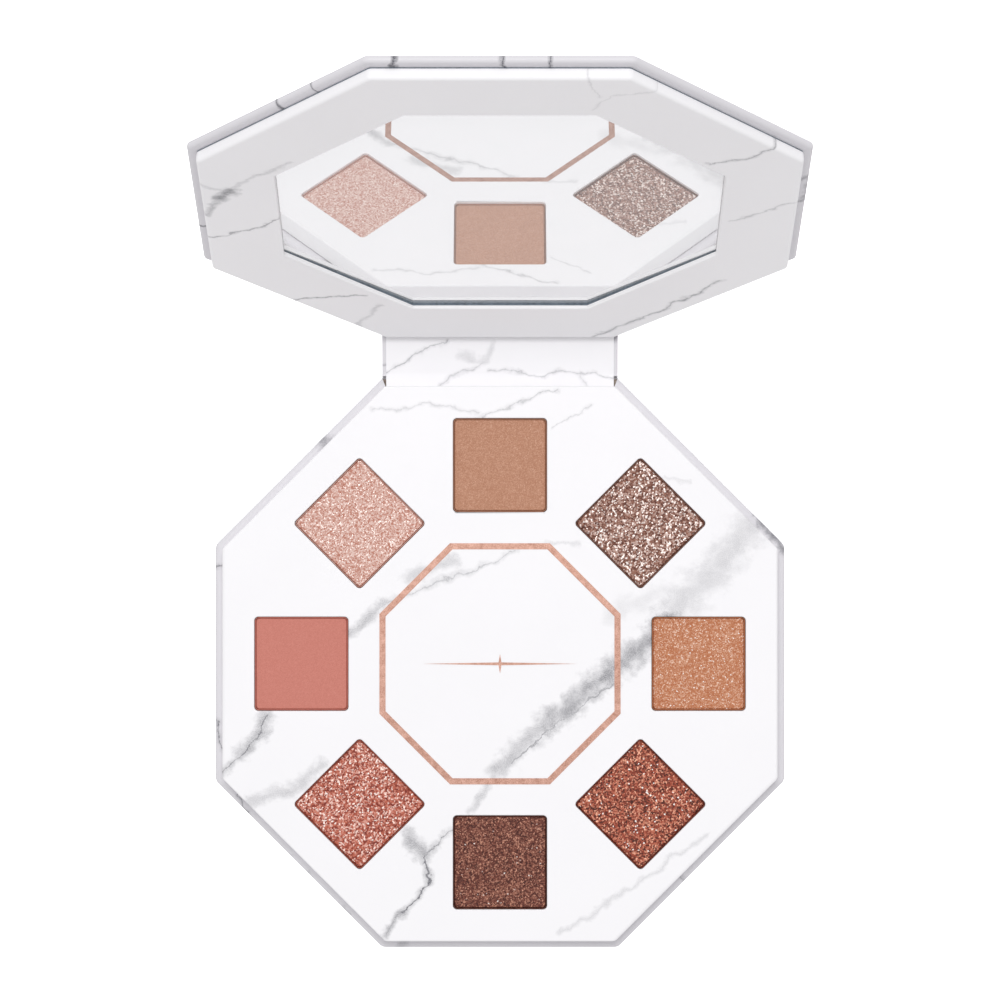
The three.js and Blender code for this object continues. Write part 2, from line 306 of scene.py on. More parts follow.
def marble_paper(name, veins, white=PAPER_WHITE, to_sheet=None, uv_map=None):
    """Marble print on laminated paper. A vein is its line, its haze, how far that reaches, and its bends."""
    material, tree, principled = surface(name)
    place = sheet_place(tree, to_sheet, uv_map)
    flat = vectors(tree, "MULTIPLY", place, (1, 1, 0))
    bend = vectors(tree, "SUBTRACT", noise(tree, flat, 0.28, 2.0, 0.5, "Color"), (0.5, 0.5, 0.5))
    jag = vectors(tree, "SUBTRACT", noise(tree, flat, 1.5, 3.0, 0.6, "Color"), (0.5, 0.5, 0.5))
    wandering = vectors(tree, "ADD", flat, vectors(tree, "MULTIPLY", bend, (3.2, 3.2, 0)))
    wandering = vectors(tree, "ADD", wandering, vectors(tree, "MULTIPLY", jag, (0.7, 0.7, 0)))
    cloud = noise(tree, flat, 0.4, 3.0, 0.6)
    marks = None
    for line, haze, reach, bends in veins:
        for start, end in zip(bends, bends[1:]):
            inputs = {"Place": wandering, "From": (*start, 0), "To": (*end, 0),
                      "Line": line, "Haze": haze, "Reach": reach, "Cloud": cloud}
            mark = effect(tree, vein, inputs).outputs["Mask"]
            marks = mark if marks is None else maths(tree, "MAXIMUM", marks, mark)
    speckle = remap(tree, noise(tree, place, 5.0, 2.0), 0.35, 0.6, 0.65, 1.1)
    finish = effect(tree, laminate, {"Place": place})
    sheet = mixed(tree, finish.outputs["Shade"], VEIN_DARK, white)
    colour = mixed(tree, maths(tree, "MULTIPLY", marks, speckle, clamp=True), sheet, VEIN_DARK)
    bump = node(tree, "ShaderNodeBump", {"Height": finish.outputs["Height"], "Strength": 0.15,
                                         "Distance": GRAIN_DEPTH})
    give(tree, {"Base Color": colour, "Roughness": finish.outputs["Roughness"],
                "Specular IOR Level": 0.35, "Normal": bump.outputs["Normal"]}, principled)
    return material


def finish_piece(piece, material, slot, body=None, *nodes):
    """Gives a piece its material, its body if it rides on one, and the CAD it stands for. The slot is not
    used.
    """
    piece.data.materials.clear()
    piece.data.materials.append(material)
    if body:
        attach(piece, body)
    if nodes:
        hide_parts(*nodes)


base_cover = wrapped_cover("base_cover")
# The covers' paper is printed greyer than the tray's white: painted shade, standing in for the shade on their
# narrow rounded edges.
COVER_WHITE_PAINTED_SHADE = srgb(223, 221, 225)
base_cover_veins = [
    (0.7, 0.7, 1.3, [(56, 22), (50, 31)]),
    (0.0, 0.6, 1.8, [(-37, 46), (-33, 42)]),
    (0.8, 0.3, 0.8, [(-56, -12), (-50, -31), (-30, -50)]),
    (0.3, 0.3, 1.6, [(-20, -57), (-12, -38), (6, -20), (26, 4), (44, 20)]),
    (0.8, 0.2, 0.8, [(-57, 19), (-34, 22), (-12, 40), (-8, 57)]),
    (0.4, 0.2, 0.8, [(38, -44), (22, -30), (6, -20)]),
]
base_cover_paper = marble_paper("base_cover_print", base_cover_veins, COVER_WHITE_PAINTED_SHADE)
finish_piece(base_cover, base_cover_paper, "marble_paper", "base", "base_cover_paper")

# Boards, magnets and tape. Grey chipboard octagons stiffen the covers and build up the tray; a pair
# of button magnets in each half holds the palette shut, and a tape pad holds the mirror.

BOARD_NODES = ("base_board", "spine_board", "lid_board", "tray_floor_card",
               "tray_lower_board", "tray_upper_board")
MAGNET_NODES = ("base_magnet_left", "base_magnet_right", "lid_magnet_left", "lid_magnet_right")


def plain_material(name, dark, light, grain, rough, metallic=0.0, relief=0.2):
    """A mottled material: two colours mixed by noise, with roughness and relief from the same grain."""
    material, tree, principled = surface(name)
    place = sheet_place(tree)
    fine = noise(tree, place, grain, 5.0, 0.65)
    broad = noise(tree, place, grain / 8, 3.0)
    mottle = maths(tree, "ADD", maths(tree, "MULTIPLY", fine, 0.7), maths(tree, "MULTIPLY", broad, 0.3))
    colour = mixed(tree, remap(tree, mottle, 0.35, 0.65), dark, light)
    bump = node(tree, "ShaderNodeBump", {"Height": fine, "Strength": relief, "Distance": GRAIN_DEPTH})
    give(tree, {"Base Color": colour, "Roughness": remap(tree, fine, 0.3, 0.7, rough - 0.06, rough + 0.06),
                "Metallic": metallic, "Normal": bump.outputs["Normal"]}, principled)
    return material


def coat_nodes(material, *names):
    """Puts a material on CAD nodes that are shown as they are."""
    for name in names:
        slots = frame["nodes"][name].data.materials
        slots.clear()
        slots.append(material)


grey_board = plain_material("grey_board", srgb(112, 98, 88), srgb(158, 146, 134), 2.6, 0.9, relief=0.6)
coat_nodes(grey_board, *BOARD_NODES)
nickel = plain_material("nickel", srgb(176, 176, 178), srgb(214, 214, 216), 1.8, 0.28, metallic=1.0)
coat_nodes(nickel, *MAGNET_NODES)
tape_pad = plain_material("tape_pad", srgb(226, 222, 210), srgb(240, 238, 230), 1.2, 0.6)
coat_nodes(tape_pad, "mirror_tape")

# Tray wrap. One sheet of the same marble paper over the stacked tray boards, turned down the outer
# sides and down into the eight square windows that hold the pans.

TRAY_EDGE = 0.5 * MM
WINDOW_EDGE = 0.2 * MM
WINDOW_CORNER = 0.8 * MM
WINDOW_SPARE = 0.5 * MM
UNDER_TURN = 1.5 * MM
FLOOR_GAP = 0.05 * MM
WELLS = ("rear", "rear_left", "left", "front_left", "front", "front_right", "right", "rear_right")

tray_low, tray_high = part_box("tray_wrap")
tray_across = tray_high.x - tray_low.x
pan_low, pan_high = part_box("pan_rear")
window_side = pan_high.x - pan_low.x + WINDOW_SPARE
well_ring = (pan_low.y + pan_high.y) / 2
window_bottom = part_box("tray_floor_card")[1].z + FLOOR_GAP


def well_place(well):
    """From a square at the origin to its well, turned to face the middle of the tray."""
    turn = EIGHTHS[WELLS.index(well)]
    return Matrix.Rotation(turn, 4, "Z") @ Matrix.Translation((0, well_ring, 0))


def rounded_block(name, side, corner, bottom, top):
    """A square block at the origin with rounded upright corners."""
    bpy.ops.object.select_all(action="DESELECT")
    bpy.ops.mesh.primitive_cube_add(
        size=1,
        location=(0, 0, (bottom + top) / 2),
        scale=(side, side, top - bottom),
    )
    block = bpy.context.object
    block.name = block.data.name = name
    bpy.ops.object.transform_apply()
    pick(block, "edges", upright)
    bpy.ops.mesh.bevel(offset=corner, segments=6, affect="EDGES")
    only(block)
    return block


def copy_to(piece, name, place):
    """A copy of a modelled piece with its own mesh, moved into place in its mesh."""
    copy = piece.copy()
    copy.data = piece.data.copy()
    copy.name = copy.data.name = name
    bpy.context.scene.collection.objects.link(copy)
    copy.data.transform(place)
    return copy


def turn_under(across):
    """Turns the selected lower edge of a wrap in under its board."""
    bpy.ops.mesh.extrude_region_move()
    share = 1 - 2 * UNDER_TURN / across
    bpy.ops.transform.resize(value=(share, share, 1))


def drop(*pieces):
    for piece in pieces:
        bpy.data.objects.remove(piece)


tray = octagon_block("tray_paper", tray_across, tray_low.z, tray_high.z)
cutter = rounded_block("window_cutter", window_side, WINDOW_CORNER,
                       tray_low.z - MM, tray_high.z + MM)
for well in WELLS:
    window = copy_to(cutter, "window_" + well, well_place(well))
    modify(tray, "BOOLEAN", operation="DIFFERENCE", solver="EXACT", object=window)
    drop(window)
drop(cutter)
pick(tray, "faces", lambda face: True)
bpy.ops.mesh.remove_doubles(threshold=LEVEL)
pick(tray, "faces", lambda face: face.normal.z < -0.9)
bpy.ops.mesh.delete(type="FACE")
pick(tray, "edges", lambda edge: level_at(edge, tray_low.z)
     and inside_outline(middle(edge), tray_across) > MM)
bpy.ops.transform.translate(value=(0, 0, window_bottom - tray_low.z))
pick(tray, "edges", lambda edge: level_at(edge, tray_low.z)
     and inside_outline(middle(edge), tray_across) < LEVEL)
turn_under(tray_across)
pick(tray, "edges", lambda edge: corner_edge(edge) and inside_outline(middle(edge), tray_across) < LEVEL)
bpy.ops.mesh.bevel(offset=TRAY_EDGE, segments=4, affect="EDGES")
pick(tray, "edges", lambda edge: corner_edge(edge) and level_at(edge, tray_high.z)
     and inside_outline(middle(edge), tray_across) > 2 * MM)
bpy.ops.mesh.bevel(offset=WINDOW_EDGE, segments=3, affect="EDGES")
modify(tray, "SOLIDIFY", thickness=PAPER, offset=-1)
smooth(tray)
tray_veins = [
    (0.0, 0.28, 4.4, [(50, 28), (42, 18), (34, 11)]),
    (0.0, 0.14, 2.4, [(22, 10), (32, 14)]),
    (0.0, 0.66, 3.4, [(33, 9), (30, 5), (19, -4)]),
    (0.0, 0.6, 3.0, [(19, -4), (14, -8), (9, -12)]),
    (0.0, 0.44, 2.6, [(9, -12), (4, -16), (0, -21)]),
    (0.7, 0.2, 0.5, [(24, -3), (12, -11), (2, -20)]),
    (0.25, 0.32, 1.1, [(0, -21), (-6, -29)]),
    (0.75, 0.35, 0.9, [(-9, -32), (-13, -36), (-15, -38)]),
    (0.0, 0.6, 2.0, [(-18, -34), (-15, -38)]),
    (1.0, 0.4, 0.9, [(-15, -38), (-14, -43), (-15, -45), (-19, -49)]),
    (0.7, 0.55, 1.2, [(-19, -49), (-23, -53)]),
    (0.9, 0.5, 1.9, [(-46, -10), (-47, -14), (-51, -18)]),
    (0.8, 0.4, 1.2, [(-51, -18), (-55, -22)]),
    (0.05, 0.34, 1.7, [(-35, -20), (-40, -24), (-49, -27)]),
    (0.45, 0.2, 0.8, [(-30, 6), (-21, 13), (-4, 19), (3, 22)]),
    (0.0, 0.3, 1.9, [(-18, 17), (-9, 20)]),
    (0.0, 0.42, 1.5, [(-29, 6), (-23, 12)]),
    (0.3, 0.15, 0.6, [(-25, 50), (-14, 51), (-4, 49)]),
    (0.4, 0.18, 0.6, [(-4, 48), (3, 51), (11, 54)]),
    (0.3, 0.14, 0.5, [(10, 46), (18, 51)]),
    (0.15, 0.18, 0.6, [(9, 24), (15, 23)]),
    (0.15, 0.16, 0.6, [(32, 37), (37, 36)]),
    (0.25, 0.2, 0.8, [(40, -34), (26, -44), (12, -53)]),
]
finish_piece(tray, marble_paper("tray_print", tray_veins), "marble_paper", "base", "tray_wrap")

# Pans. Eight square godets pressed from thin tinplate, each with a rounded rim, dropped into the
# windows and glued to the floor card.

PAN_CORNER = 0.8 * MM
PAN_WALL = 0.16 * MM
PAN_RIM = 0.07 * MM
PAN_FIT = 0.2 * MM

pan = rounded_block("pan", window_side - PAN_FIT, PAN_CORNER, pan_low.z, pan_high.z)
pick(pan, "faces", lambda face: face.normal.z > 0.9)
bpy.ops.mesh.inset(thickness=PAN_WALL)
pan_depth = pan_high.z - pan_low.z - PAN_WALL
bpy.ops.mesh.extrude_region_move(TRANSFORM_OT_translate={"value": (0, 0, -pan_depth)})
pick(pan, "edges", lambda edge: corner_edge(edge) and not upright(edge))
bpy.ops.mesh.bevel(offset=PAN_RIM, segments=3, affect="EDGES")
smooth(pan)
pans = {well: copy_to(pan, "godet_" + well, well_place(well)) for well in WELLS}
drop(pan)

# Powder cakes. Eight pressed eyeshadows, one in each pan: satin and matte ones with a fine pressed
# face, shimmers with small pearl flakes, and foil glitters with coarse loose flakes.

CAKE_CORNER = 0.7 * MM
CAKE_SPARE = 0.04 * MM
CAKE_EDGE = 0.18 * MM
CAKE_VOXEL = 0.16 * MM
CAKES = {
    "rear": dict(slot="powder_tan_satin", dark=srgb(176, 122, 94), base=srgb(190, 139, 112),
                 light=srgb(210, 162, 136), flake=0.17, sparks=0.2, glints=0.0, relief=0.03),
    "rear_left": dict(slot="powder_pale_pink", dark=srgb(184, 116, 96), base=srgb(222, 182, 169),
                      light=srgb(250, 230, 222), flake=0.22, sparks=0.5, glints=0.008, relief=0.05),
    "left": dict(slot="powder_rose_matte", dark=srgb(198, 120, 106), base=srgb(205, 128, 114),
                 light=srgb(211, 135, 121), flake=0.15, sparks=0.1, glints=0.0, relief=0.02),
    "front_left": dict(slot="powder_rose_glitter", dark=srgb(120, 38, 26), base=srgb(201, 108, 84),
                       light=srgb(250, 216, 204), flake=0.27, sparks=0.55, glints=0.02, relief=0.07),
    "front": dict(slot="powder_brown_shimmer", dark=srgb(60, 16, 8), base=srgb(117, 60, 46),
                  light=srgb(192, 134, 110), flake=0.22, sparks=0.5, glints=0.004, relief=0.06),
    "front_right": dict(slot="powder_copper_glitter", dark=srgb(60, 20, 12), base=srgb(168, 74, 50),
                        light=srgb(240, 170, 140), flake=0.27, sparks=0.5, glints=0.02, relief=0.07),
    "right": dict(slot="powder_apricot_sparkle", dark=srgb(180, 106, 68), base=srgb(197, 130, 92),
                  light=srgb(242, 206, 184), flake=0.2, sparks=0.3, glints=0.012, relief=0.04),
    "rear_right": dict(slot="powder_champagne_glitter", dark=srgb(88, 46, 34), base=srgb(160, 112, 94),
                       light=srgb(252, 234, 226), flake=0.28, sparks=0.6, glints=0.03, relief=0.09),
}
cake_low, cake_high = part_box("powder_rear")


def flake_effect():
    """Pressed flakes: a random tone, a spark, a rare glint and a small tilt for each flake. Sparks are partly
    paler flakes and partly painted highlight; glints are painted highlights.
    """
    takes = {"Place": "Vector", "Size": "Float", "Sparks": "Float", "Glints": "Float"}
    group, takes, gives = new_group("pressed flakes", takes, ["Tone", "Spark", "Glint", "Height"])
    cells = {"Vector": takes["Place"], "Scale": maths(group, "DIVIDE", 1.0, takes["Size"])}
    flakes = node(group, "ShaderNodeTexVoronoi", cells, feature="F1")
    tone = node(group, "ShaderNodeSeparateColor", {"Color": flakes.outputs["Color"]})
    broad = noise(group, takes["Place"], 0.5, 3.0)
    tone_mix = maths(group, "ADD", maths(group, "MULTIPLY", tone.outputs["Red"], 0.8),
                     maths(group, "MULTIPLY", broad, 0.2))
    # A spark turns a few flakes the pale colour: partly paler flakes, partly a painted highlight.
    limit = maths(group, "SUBTRACT", 1.0, maths(group, "MULTIPLY", takes["Sparks"], 0.28))
    spark = remap(group, maths(group, "SUBTRACT", tone.outputs["Green"], limit), -0.05, 0.08)
    # A rare glint turns a flake near white: a painted highlight.
    rare = maths(group, "SUBTRACT", 1.0, takes["Glints"])
    glint = remap(group, maths(group, "SUBTRACT", tone.outputs["Red"], rare), 0.0, 0.004)
    dome = maths(group, "MULTIPLY", flakes.outputs["Distance"], -0.6)
    height = maths(group, "ADD", tone.outputs["Blue"], dome)
    group.links.new(tone_mix, gives["Tone"])
    group.links.new(spark, gives["Spark"])
    group.links.new(glint, gives["Glint"])
    group.links.new(height, gives["Height"])
    return group


flakes = flake_effect()
# Near-white colour of the rare glints, a painted highlight.
PAINTED_GLINT_WHITE = srgb(255, 246, 240)


def powder(name, look):
    """Pressed powder, flake by flake: dark flakes that are partly a darker tone and partly painted shade in
    the gaps, the base tone, pale sparks that are partly paler flakes and partly painted highlight, and rare
    white glints painted as highlights.
    """
    material, tree, principled = surface(name)
    place = sheet_place(tree)
    inputs = {"Place": place, "Size": look["flake"], "Sparks": look["sparks"],
              "Glints": look["glints"]}
    pressed = effect(tree, flakes, inputs).outputs
    # Dark flakes: partly a darker tone, partly painted shade in the gaps between flakes.
    filled = remap(tree, pressed["Tone"], 0.05, 0.75, curve="SMOOTHSTEP")
    body = mixed(tree, filled, look["dark"], look["base"])
    body = mixed(tree, remap(tree, pressed["Tone"], 0.6, 1.0, 0.0, 0.6), body, look["light"])
    # Pale sparks and white glints painted into the colour as highlights; the sparks are partly paler flakes.
    colour = mixed(tree, pressed["Spark"], body, look["light"])
    colour = mixed(tree, pressed["Glint"], colour, PAINTED_GLINT_WHITE)
    bump = node(tree, "ShaderNodeBump", {"Height": pressed["Height"], "Strength": 0.3 + 0.5 * look["sparks"],
                                         "Distance": look["relief"] * MM})
    rough = remap(tree, pressed["Spark"], 0.0, 1.0, 0.75, 0.3)
    shine = maths(tree, "MULTIPLY", pressed["Spark"], 0.5 * look["sparks"])
    give(tree, {"Base Color": colour, "Roughness": rough, "Metallic": shine,
                "Normal": bump.outputs["Normal"]}, principled)
    return material


def ruffled(cake, look):
    """Breaks up the pressed face of a cake with shallow dents as coarse as its flakes."""
    texture = bpy.data.textures.new(cake.name, "CLOUDS")
    texture.noise_scale = 1.6 * look["flake"] * MM
    texture.noise_depth = 1
    modify(cake, "DISPLACE", texture=texture, texture_coords="LOCAL", direction="Z",
           vertex_group="face", mid_level=1.0, strength=look["relief"] * MM)


cake_side = window_side - PAN_FIT - 2 * PAN_WALL - 2 * CAKE_SPARE
cake = rounded_block("cake", cake_side, CAKE_CORNER, cake_low.z, cake_high.z)
pick(cake, "edges", lambda edge: level_at(edge, cake_high.z))
bpy.ops.mesh.bevel(offset=CAKE_EDGE, segments=3, affect="EDGES")
modify(cake, "REMESH", mode="VOXEL", voxel_size=CAKE_VOXEL)
only(cake)
cake.vertex_groups.new(name="face")
pick(cake, "faces", lambda face: face.calc_center_median().z > cake_high.z - 2 * CAKE_EDGE)
bpy.ops.object.vertex_group_assign()
only(cake)
for well, look in CAKES.items():
    pressed_cake = copy_to(cake, "cake_" + well, well_place(well))
    ruffled(pressed_cake, look)
    only(pressed_cake)
    bpy.ops.object.shade_smooth()
    finish_piece(pressed_cake, powder(look["slot"], look), look["slot"], "base", "powder_" + well)
    dusty = plain_material("dusty_tin_" + well, look["dark"], look["base"], 3.0, 0.5, metallic=0.4)
    finish_piece(pans[well], dusty, "pan_metal", "base", "pan_" + well)
drop(cake)

# Foil. A rose gold octagon line and a long four-pointed star, hot stamped on the tray paper: the
# foil is a few hundredths of a millimetre thick and a little worn in its grain.

foil = plain_material("rose_gold_foil", srgb(150, 100, 80), srgb(221, 177, 160), 6.0, 0.4, metallic=0.45)
coat_nodes(foil, "gold_frame", "gold_ornament")

# Hinge papers. The outer paper runs on from the base round the spine to the lid, its sides turned in
# over the spine board, and a lining of thin marble paper covers the inside. The base pieces are bent over the
# first fold and the lid pieces over the second, as they lie in this pose; none of them is attached to a body.

CREASE = 1.4 * MM
LINING = 0.1 * MM
TURN_IN = 5 * MM
SIDE_CORNER = 0.25 * MM
STEP = 0.2 * MM
TUCK = 6 * MM
GLUE_GAP = 0.02 * MM

lid_fold = Vector(lid_joint["pos_m"])
spine_length = (lid_fold - base_fold).length
spine_tilt = math.atan2(lid_fold.z - base_fold.z, lid_fold.y - base_fold.y)
lid_tilt = spine_tilt + math.radians(90 - lid_joint["range_deg"][1])
spine_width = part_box("spine_cover_paper")[1].x * 2
lining_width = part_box("spine_lining")[1].x * 2


def eased(share):
    share = min(max(share, 0), 1)
    return share * share * (3 - 2 * share)


def folded(point, lid_crease):
    """A point of the hinge papers laid flat, taken to where the two folds bring it."""
    first = Matrix.Rotation(spine_tilt * eased((point.y - base_fold.y) / CREASE), 4, "X")
    along = point.y - base_fold.y - spine_length + CREASE
    second = Matrix.Rotation((lid_tilt - spine_tilt) * eased(along / lid_crease), 4, "X")
    flat_fold = base_fold + Vector((0, spine_length, 0))
    bent = flat_fold + second @ (point - flat_fold)
    return base_fold + first @ (bent - base_fold)


def fold_piece(piece, lid_crease):
    """Keeps the flat layout in millimetres as UVs, then folds the paper up."""
    only(piece)
    uvs = piece.data.uv_layers.new(name="Sheet")
    for loop in piece.data.loops:
        flat = piece.data.vertices[loop.vertex_index].co
        uvs.data[loop.index].uv = (flat.x / MM, flat.y / MM)
    for vert in piece.data.vertices:
        vert.co = folded(vert.co, lid_crease)


def cut_across(piece, start, end):
    """Cuts a flat strip into narrow bands over a crease, so that it can bend there."""
    for step in range(round((end - start) / STEP) + 1):
        pick(piece, "faces", lambda face: True)
        bpy.ops.mesh.bisect(plane_co=(0, start + step * STEP, 0), plane_no=(0, 1, 0))


def flat_strip(name, width, start, end, level):
    """A sheet of paper laid flat, from start to end along Y, with its good face up."""
    bpy.ops.object.select_all(action="DESELECT")
    bpy.ops.mesh.primitive_plane_add(size=1, location=(0, (start + end) / 2, level))
    strip = bpy.context.object
    strip.name = strip.data.name = name
    strip.scale = (width, end - start, 1)
    bpy.ops.object.transform_apply()
    return strip


def channel_strip(name, start, end):
    """The spine's outer paper laid flat, with its two sides turned up and in."""
    top = cover_t - LINING - GLUE_GAP
    strip = flat_strip(name, spine_width, start, end, 0)
    side = spine_width / 2
    pick(strip, "edges", lambda edge: abs(abs(middle(edge).x) - side) < LEVEL)
    bpy.ops.mesh.extrude_region_move(TRANSFORM_OT_translate={"value": (0, 0, top)})
    for hand in (-1, 1):
        pick(strip, "edges", lambda edge: level_at(edge, top) and abs(middle(edge).x - hand * side) < LEVEL)
        bpy.ops.mesh.extrude_region_move(TRANSFORM_OT_translate={"value": (-hand * TURN_IN, 0, 0)})
    pick(strip, "edges", corner_edge)
    bpy.ops.mesh.bevel(offset=SIDE_CORNER, segments=3, affect="EDGES")
    pick(strip, "faces", lambda face: True)
    bpy.ops.mesh.normals_make_consistent(inside=False)
    shell = bmesh.from_edit_mesh(strip.data)
    lowest = min(shell.faces, key=lambda face: face.calc_center_median().z)
    if lowest.normal.z > 0:
        bpy.ops.mesh.flip_normals()
    only(strip)
    return strip


spine_middle = base_fold.y + spine_length / 2
lid_start = base_fold.y + spine_length
strips = {
    "base_hinge_lining": flat_strip("base_hinge_lining", lining_width,
                                    tray_high.y - TUCK, spine_middle, cover_t),
    "lid_hinge_lining": flat_strip("lid_hinge_lining", lining_width,
                                   spine_middle, lid_start + 2 * TUCK, cover_t),
    "base_hinge_paper": channel_strip("base_hinge_paper", base_fold.y, spine_middle),
    "lid_hinge_paper": channel_strip("lid_hinge_paper", spine_middle, lid_start),
}
lining_veins = [
    (0.5, 0.18, 0.6, [(-10, 64), (-17, 61), (-21, 59), (-25, 55)]),
    (0.4, 0.2, 0.7, [(-3, 60), (-6, 58), (-11, 56), (-13, 54)]),
    (0.4, 0.18, 0.6, [(-2, 58), (9, 57), (16, 58), (23, 56)]),
    (0.1, 0.22, 1.2, [(-8, 61), (-3, 60), (-2, 63)]),
    (0.25, 0.12, 0.6, [(16, 58), (17, 55)]),
]
outer_veins = [
    (0.6, 0.3, 0.8, [(-24, 59), (-10, 62), (6, 60), (24, 65)]),
    (0.5, 0.3, 0.8, [(6, 60), (12, 55)]),
]
lining_print = marble_paper("hinge_lining_print", lining_veins, uv_map="Sheet")
# The outer hinge paper takes the greyer cover white, which is painted shade.
hinge_print = marble_paper("hinge_outer_print", outer_veins, COVER_WHITE_PAINTED_SHADE, uv_map="Sheet")
for name, strip in strips.items():
    lid_side = name.startswith("lid")
    inner = name.endswith("lining")
    if lid_side:
        lid_crease = 2 * CREASE if inner else CREASE
        crease_start, crease_end = lid_start - CREASE, lid_start - CREASE + lid_crease
    else:
        lid_crease = CREASE
        crease_start, crease_end = base_fold.y, base_fold.y + CREASE
    cut_across(strip, crease_start, crease_end)
    modify(strip, "SOLIDIFY", thickness=LINING if inner else PAPER, offset=-1, use_even_offset=True)
    fold_piece(strip, lid_crease)
    smooth(strip, 60)
    if lid_side:
        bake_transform(strip)
    else:
        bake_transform(strip)
    finish_piece(strip, lining_print if inner else hinge_print, "lining_paper" if inner else "marble_paper")
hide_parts("base_lining", "spine_lining")
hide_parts("lid_lining")
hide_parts("spine_cover_paper")
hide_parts("spine_cover_paper")

# Lid cover. The same wrapped board octagon as the base cover, standing up from the second fold, with
# grey veins of the print carried over its rounded edges.

lid_flat = Matrix.Translation(lid_fold) @ Matrix.Rotation(lid_tilt, 4, "X") @ Matrix.Translation(
    (0, base_fold.y, -base_fold.z))
lid_place = lid_flat @ Matrix.Rotation(math.pi, 4, "Z")
to_lid_sheet = lid_flat.inverted()

lid_cover = wrapped_cover("lid_cover")
lid_cover.data.transform(lid_place)
lid_cover_veins = [
    (1.0, 0.8, 0.9, [(-18, 58), (-18, 53)]),
    (0.6, 0.3, 1.0, [(-18, 53), (-10, 34), (4, 22), (10, 4), (26, -12), (44, -20)]),
    (0.9, 0.6, 0.6, [(0.6, 58), (1, 52)]),
    (0.9, 0.6, 0.6, [(8.7, 58), (9, 52)]),
    (0.3, 0.3, 1.0, [(9, 52), (26, 34), (57, 10)]),
    (1.0, 0.8, 0.7, [(-41, 42), (-37, 38)]),
    (1.0, 0.6, 0.6, [(-35, 48), (-31, 44)]),
    (0.3, 0.3, 1.2, [(-31, 44), (-26, 28), (-10, 34)]),
    (1.0, 0.8, 0.6, [(-58, -9), (-53, -9)]),
    (0.4, 0.3, 0.8, [(-53, -9), (-30, -14), (-18, -26), (-2, -30)]),
    (0.6, 0.6, 0.9, [(57, 12), (50, 9), (42, 14)]),
    (0.6, 0.5, 0.8, [(57, 2), (50, 0), (38, -6)]),
    (0.5, 0.7, 1.6, [(56.5, 3), (57, 11)]),
]
# The lid cover takes the greyer cover white, painted shade of its rounded edges.
lid_cover_print = marble_paper("lid_cover_print", lid_cover_veins, COVER_WHITE_PAINTED_SHADE, to_sheet=to_lid_sheet)
finish_piece(lid_cover, lid_cover_print, "marble_paper", "lid", "lid_cover_paper")

# Lid frame. A board ring glued inside the lid round the mirror, wrapped in marble paper that is
# turned down the outer side and into the opening, less deep near the hinge, where cut board shows.
# That board is coloured a dark blue-grey: partly its own cut edge, partly painted shade of the gap round the
# mirror.

FRAME_EDGE = 0.7 * MM
LIP_EDGE = 0.3 * MM
LIP_DEPTH = 0.72 * MM
LIP_GAP = 0.26 * MM
MIRROR_GAP = 0.3 * MM
MIRROR_FIT = 0.3 * MM


def lid_level(name, pick_one):
    """The top (max) or the bottom (min) of a CAD node of the lid, measured from the lid's outer face."""
    inverse = lid_place.inverted()
    return pick_one((inverse @ vert.co).z for vert in frame["nodes"][name].data.vertices)


frame_top = lid_level("lid_frame_wrap", max)
frame_bottom = lid_level("lid_frame_wrap", min)
mirror_top = lid_level("mirror", max)
mirror_bottom = lid_level("mirror", min)
mirror_low, mirror_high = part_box("mirror")
opening_across = mirror_high.x - mirror_low.x + 2 * MIRROR_GAP
mirror_across = opening_across + MIRROR_FIT

lid_frame = octagon_block("lid_frame_paper", tray_across, frame_bottom, frame_top)
pick(lid_frame, "faces", lambda face: face.normal.z < -0.9)
bpy.ops.mesh.delete(type="FACE")
pick(lid_frame, "faces", lambda face: face.normal.z > 0.9)
bpy.ops.mesh.inset(thickness=(tray_across - opening_across) / 2)
bpy.ops.mesh.extrude_region_move(TRANSFORM_OT_translate={"value": (0, 0, -LIP_DEPTH)})
bpy.ops.mesh.delete(type="FACE")
pick(lid_frame, "edges", lambda edge: level_at(edge, frame_top - LIP_DEPTH)
     and middle(edge).y < opening_across / 4)
bpy.ops.transform.translate(value=(0, 0, mirror_top + LIP_GAP - frame_top + LIP_DEPTH))
pick(lid_frame, "edges", lambda edge: level_at(edge, frame_bottom)
     and inside_outline(middle(edge), tray_across) < LEVEL)
turn_under(tray_across)
pick(lid_frame, "edges", lambda edge: corner_edge(edge) and inside_outline(middle(edge), tray_across) < LEVEL)
bpy.ops.mesh.bevel(offset=FRAME_EDGE, segments=5, affect="EDGES")
pick(lid_frame, "edges", lambda edge: corner_edge(edge) and level_at(edge, frame_top)
     and inside_outline(middle(edge), opening_across) > -LEVEL)
bpy.ops.mesh.bevel(offset=LIP_EDGE, segments=3, affect="EDGES")
modify(lid_frame, "SOLIDIFY", thickness=PAPER, offset=-1, use_even_offset=True)
smooth(lid_frame)
lid_frame.data.transform(lid_place)
